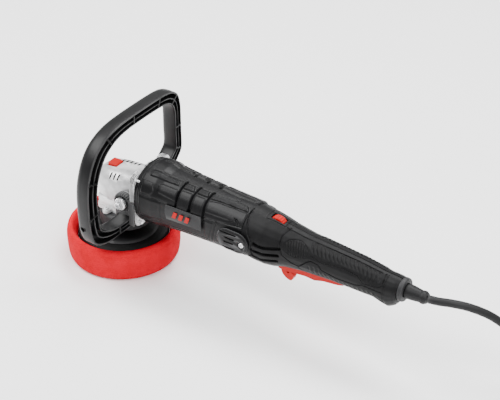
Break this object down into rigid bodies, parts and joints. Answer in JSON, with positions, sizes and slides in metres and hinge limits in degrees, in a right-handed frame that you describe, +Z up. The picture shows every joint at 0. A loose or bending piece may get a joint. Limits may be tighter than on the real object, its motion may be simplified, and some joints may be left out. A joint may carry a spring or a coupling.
{
  "type": "dual action polisher",
  "caption": "Corded car polisher: foam pad on an eccentric right-angle gear head, slim motor body, bow handle, paddle switch and cord.",
  "frame": {"origin": "centre of the pad's flat working face", "axes": "+X along the motor towards the cord, +Z up out of the pad face along the spindle, +Y to the tool's right side seen from the cord end"},
  "size_m": [0.7838, 0.3278, 0.214],
  "materials": {
    "black_plastic": "satin moulded nylon",
    "grip_rubber": "soft textured overmould",
    "red_plastic": "satin red moulding",
    "red_foam": "open-cell polishing foam",
    "loop_cloth": "hook and loop cloth",
    "cast_aluminium": "fine shot-blasted casting",
    "steel": "turned and zinc plated",
    "gear_steel": "hardened gear steel",
    "copper": "copper winding and segments",
    "carbon": "pressed carbon",
    "laminate": "stacked steel laminations",
    "grey_plastic": "grey moulded ring",
    "board": "potted circuit board",
    "cord_rubber": "rubber sheath"
  },
  "bodies": {
    "frame": {"gear_head_housing": "cast_aluminium", "bearing_cover": "cast_aluminium", "spindle_shroud": "black_plastic", "spindle_bearing_lower": "steel", "spindle_bearing_upper": "steel", "lock_spring": "steel", "motor_housing": "black_plastic", "stator_core": "laminate", "motor_bearing_front": "steel", "motor_bearing_rear": "steel", "carbon_brush_left": "carbon", "carbon_brush_right": "carbon", "brush_cover_left": "black_plastic", "brush_cover_right": "black_plastic", "brush_screw_left": "steel", "brush_screw_right": "steel", "badge_left": "grey_plastic", "badge_right": "grey_plastic", "rear_grip_left": "black_plastic", "rear_grip_right": "black_plastic", "switch_module": "black_plastic", "control_board": "board", "collar_ring": "grey_plastic", "strain_relief": "cord_rubber", "cord": "cord_rubber", "cord_coil": "cord_rubber", "power_plug": "cord_rubber", "plug_pin_left": "steel", "plug_pin_right": "steel", "bow_handle": "black_plastic", "handle_bolt_left": "steel", "handle_bolt_right": "steel", "cover_screw_1": "steel", "cover_screw_2": "steel", "cover_screw_3": "steel", "cover_screw_4": "steel", "flange_screw_1": "steel", "flange_screw_2": "steel", "flange_screw_3": "steel", "flange_screw_4": "steel"},
    "armature": {"armature_shaft": "steel", "armature_core": "copper", "commutator": "copper", "cooling_fan": "black_plastic", "pinion_gear": "gear_steel"},
    "spindle": {"main_spindle": "steel", "crown_gear": "gear_steel", "eccentric_weight": "gear_steel", "eccentric_bearing": "steel"},
    "pad": {"pad_spindle": "steel", "backing_plate": "black_plastic", "backing_cushion": "grip_rubber", "pad_loop_layer": "loop_cloth", "pad_foam": "red_foam"},
    "trigger": {"trigger_paddle": "red_plastic"},
    "lock_off": {"lock_off_lever": "red_plastic"},
    "lock_button": {"lock_button": "red_plastic"},
    "dial": {"speed_dial": "red_plastic"}
  },
  "joints": [
    {"name": "armature_spin", "type": "hinge", "parent": "frame", "child": "armature", "pos_m": [0.1, 0, 0.117], "axis": [1, 0, 0], "continuous": true},
    {"name": "spindle_spin", "type": "hinge", "parent": "frame", "child": "spindle", "pos_m": [0.006, 0, 0.09], "axis": [0, 0, 1], "continuous": true},
    {"name": "pad_spin", "type": "hinge", "parent": "spindle", "child": "pad", "pos_m": [0, 0, 0.05], "axis": [0, 0, 1], "continuous": true},
    {"name": "trigger_pull", "type": "hinge", "parent": "frame", "child": "trigger", "pos_m": [0.34, 0, 0.093], "axis": [0, 1, 0], "range_deg": [0, 3.5], "stiffness_Nm_per_rad": 2, "springref_deg": -3.44},
    {"name": "lock_off_swing", "type": "hinge", "parent": "trigger", "child": "lock_off", "pos_m": [0.268, 0, 0.088], "axis": [0, 1, 0], "range_deg": [0, 14], "stiffness_Nm_per_rad": 0.05, "springref_deg": -11.46},
    {"name": "lock_button_push", "type": "slide", "parent": "frame", "child": "lock_button", "axis": [0, 0, -1], "range_m": [0, 0.003], "stiffness_N_per_m": 800, "springref_m": -0.001, "deforming": ["lock_spring"]},
    {"name": "speed_dial_turn", "type": "hinge", "parent": "frame", "child": "dial", "pos_m": [0.246, 0, 0.1385], "axis": [0, 1, 0], "range_deg": [-135, 135]}
  ],
  "couplings": [
    {"joint": "spindle_spin", "follows": "armature_spin", "ratio": 0.52941}
  ]
}
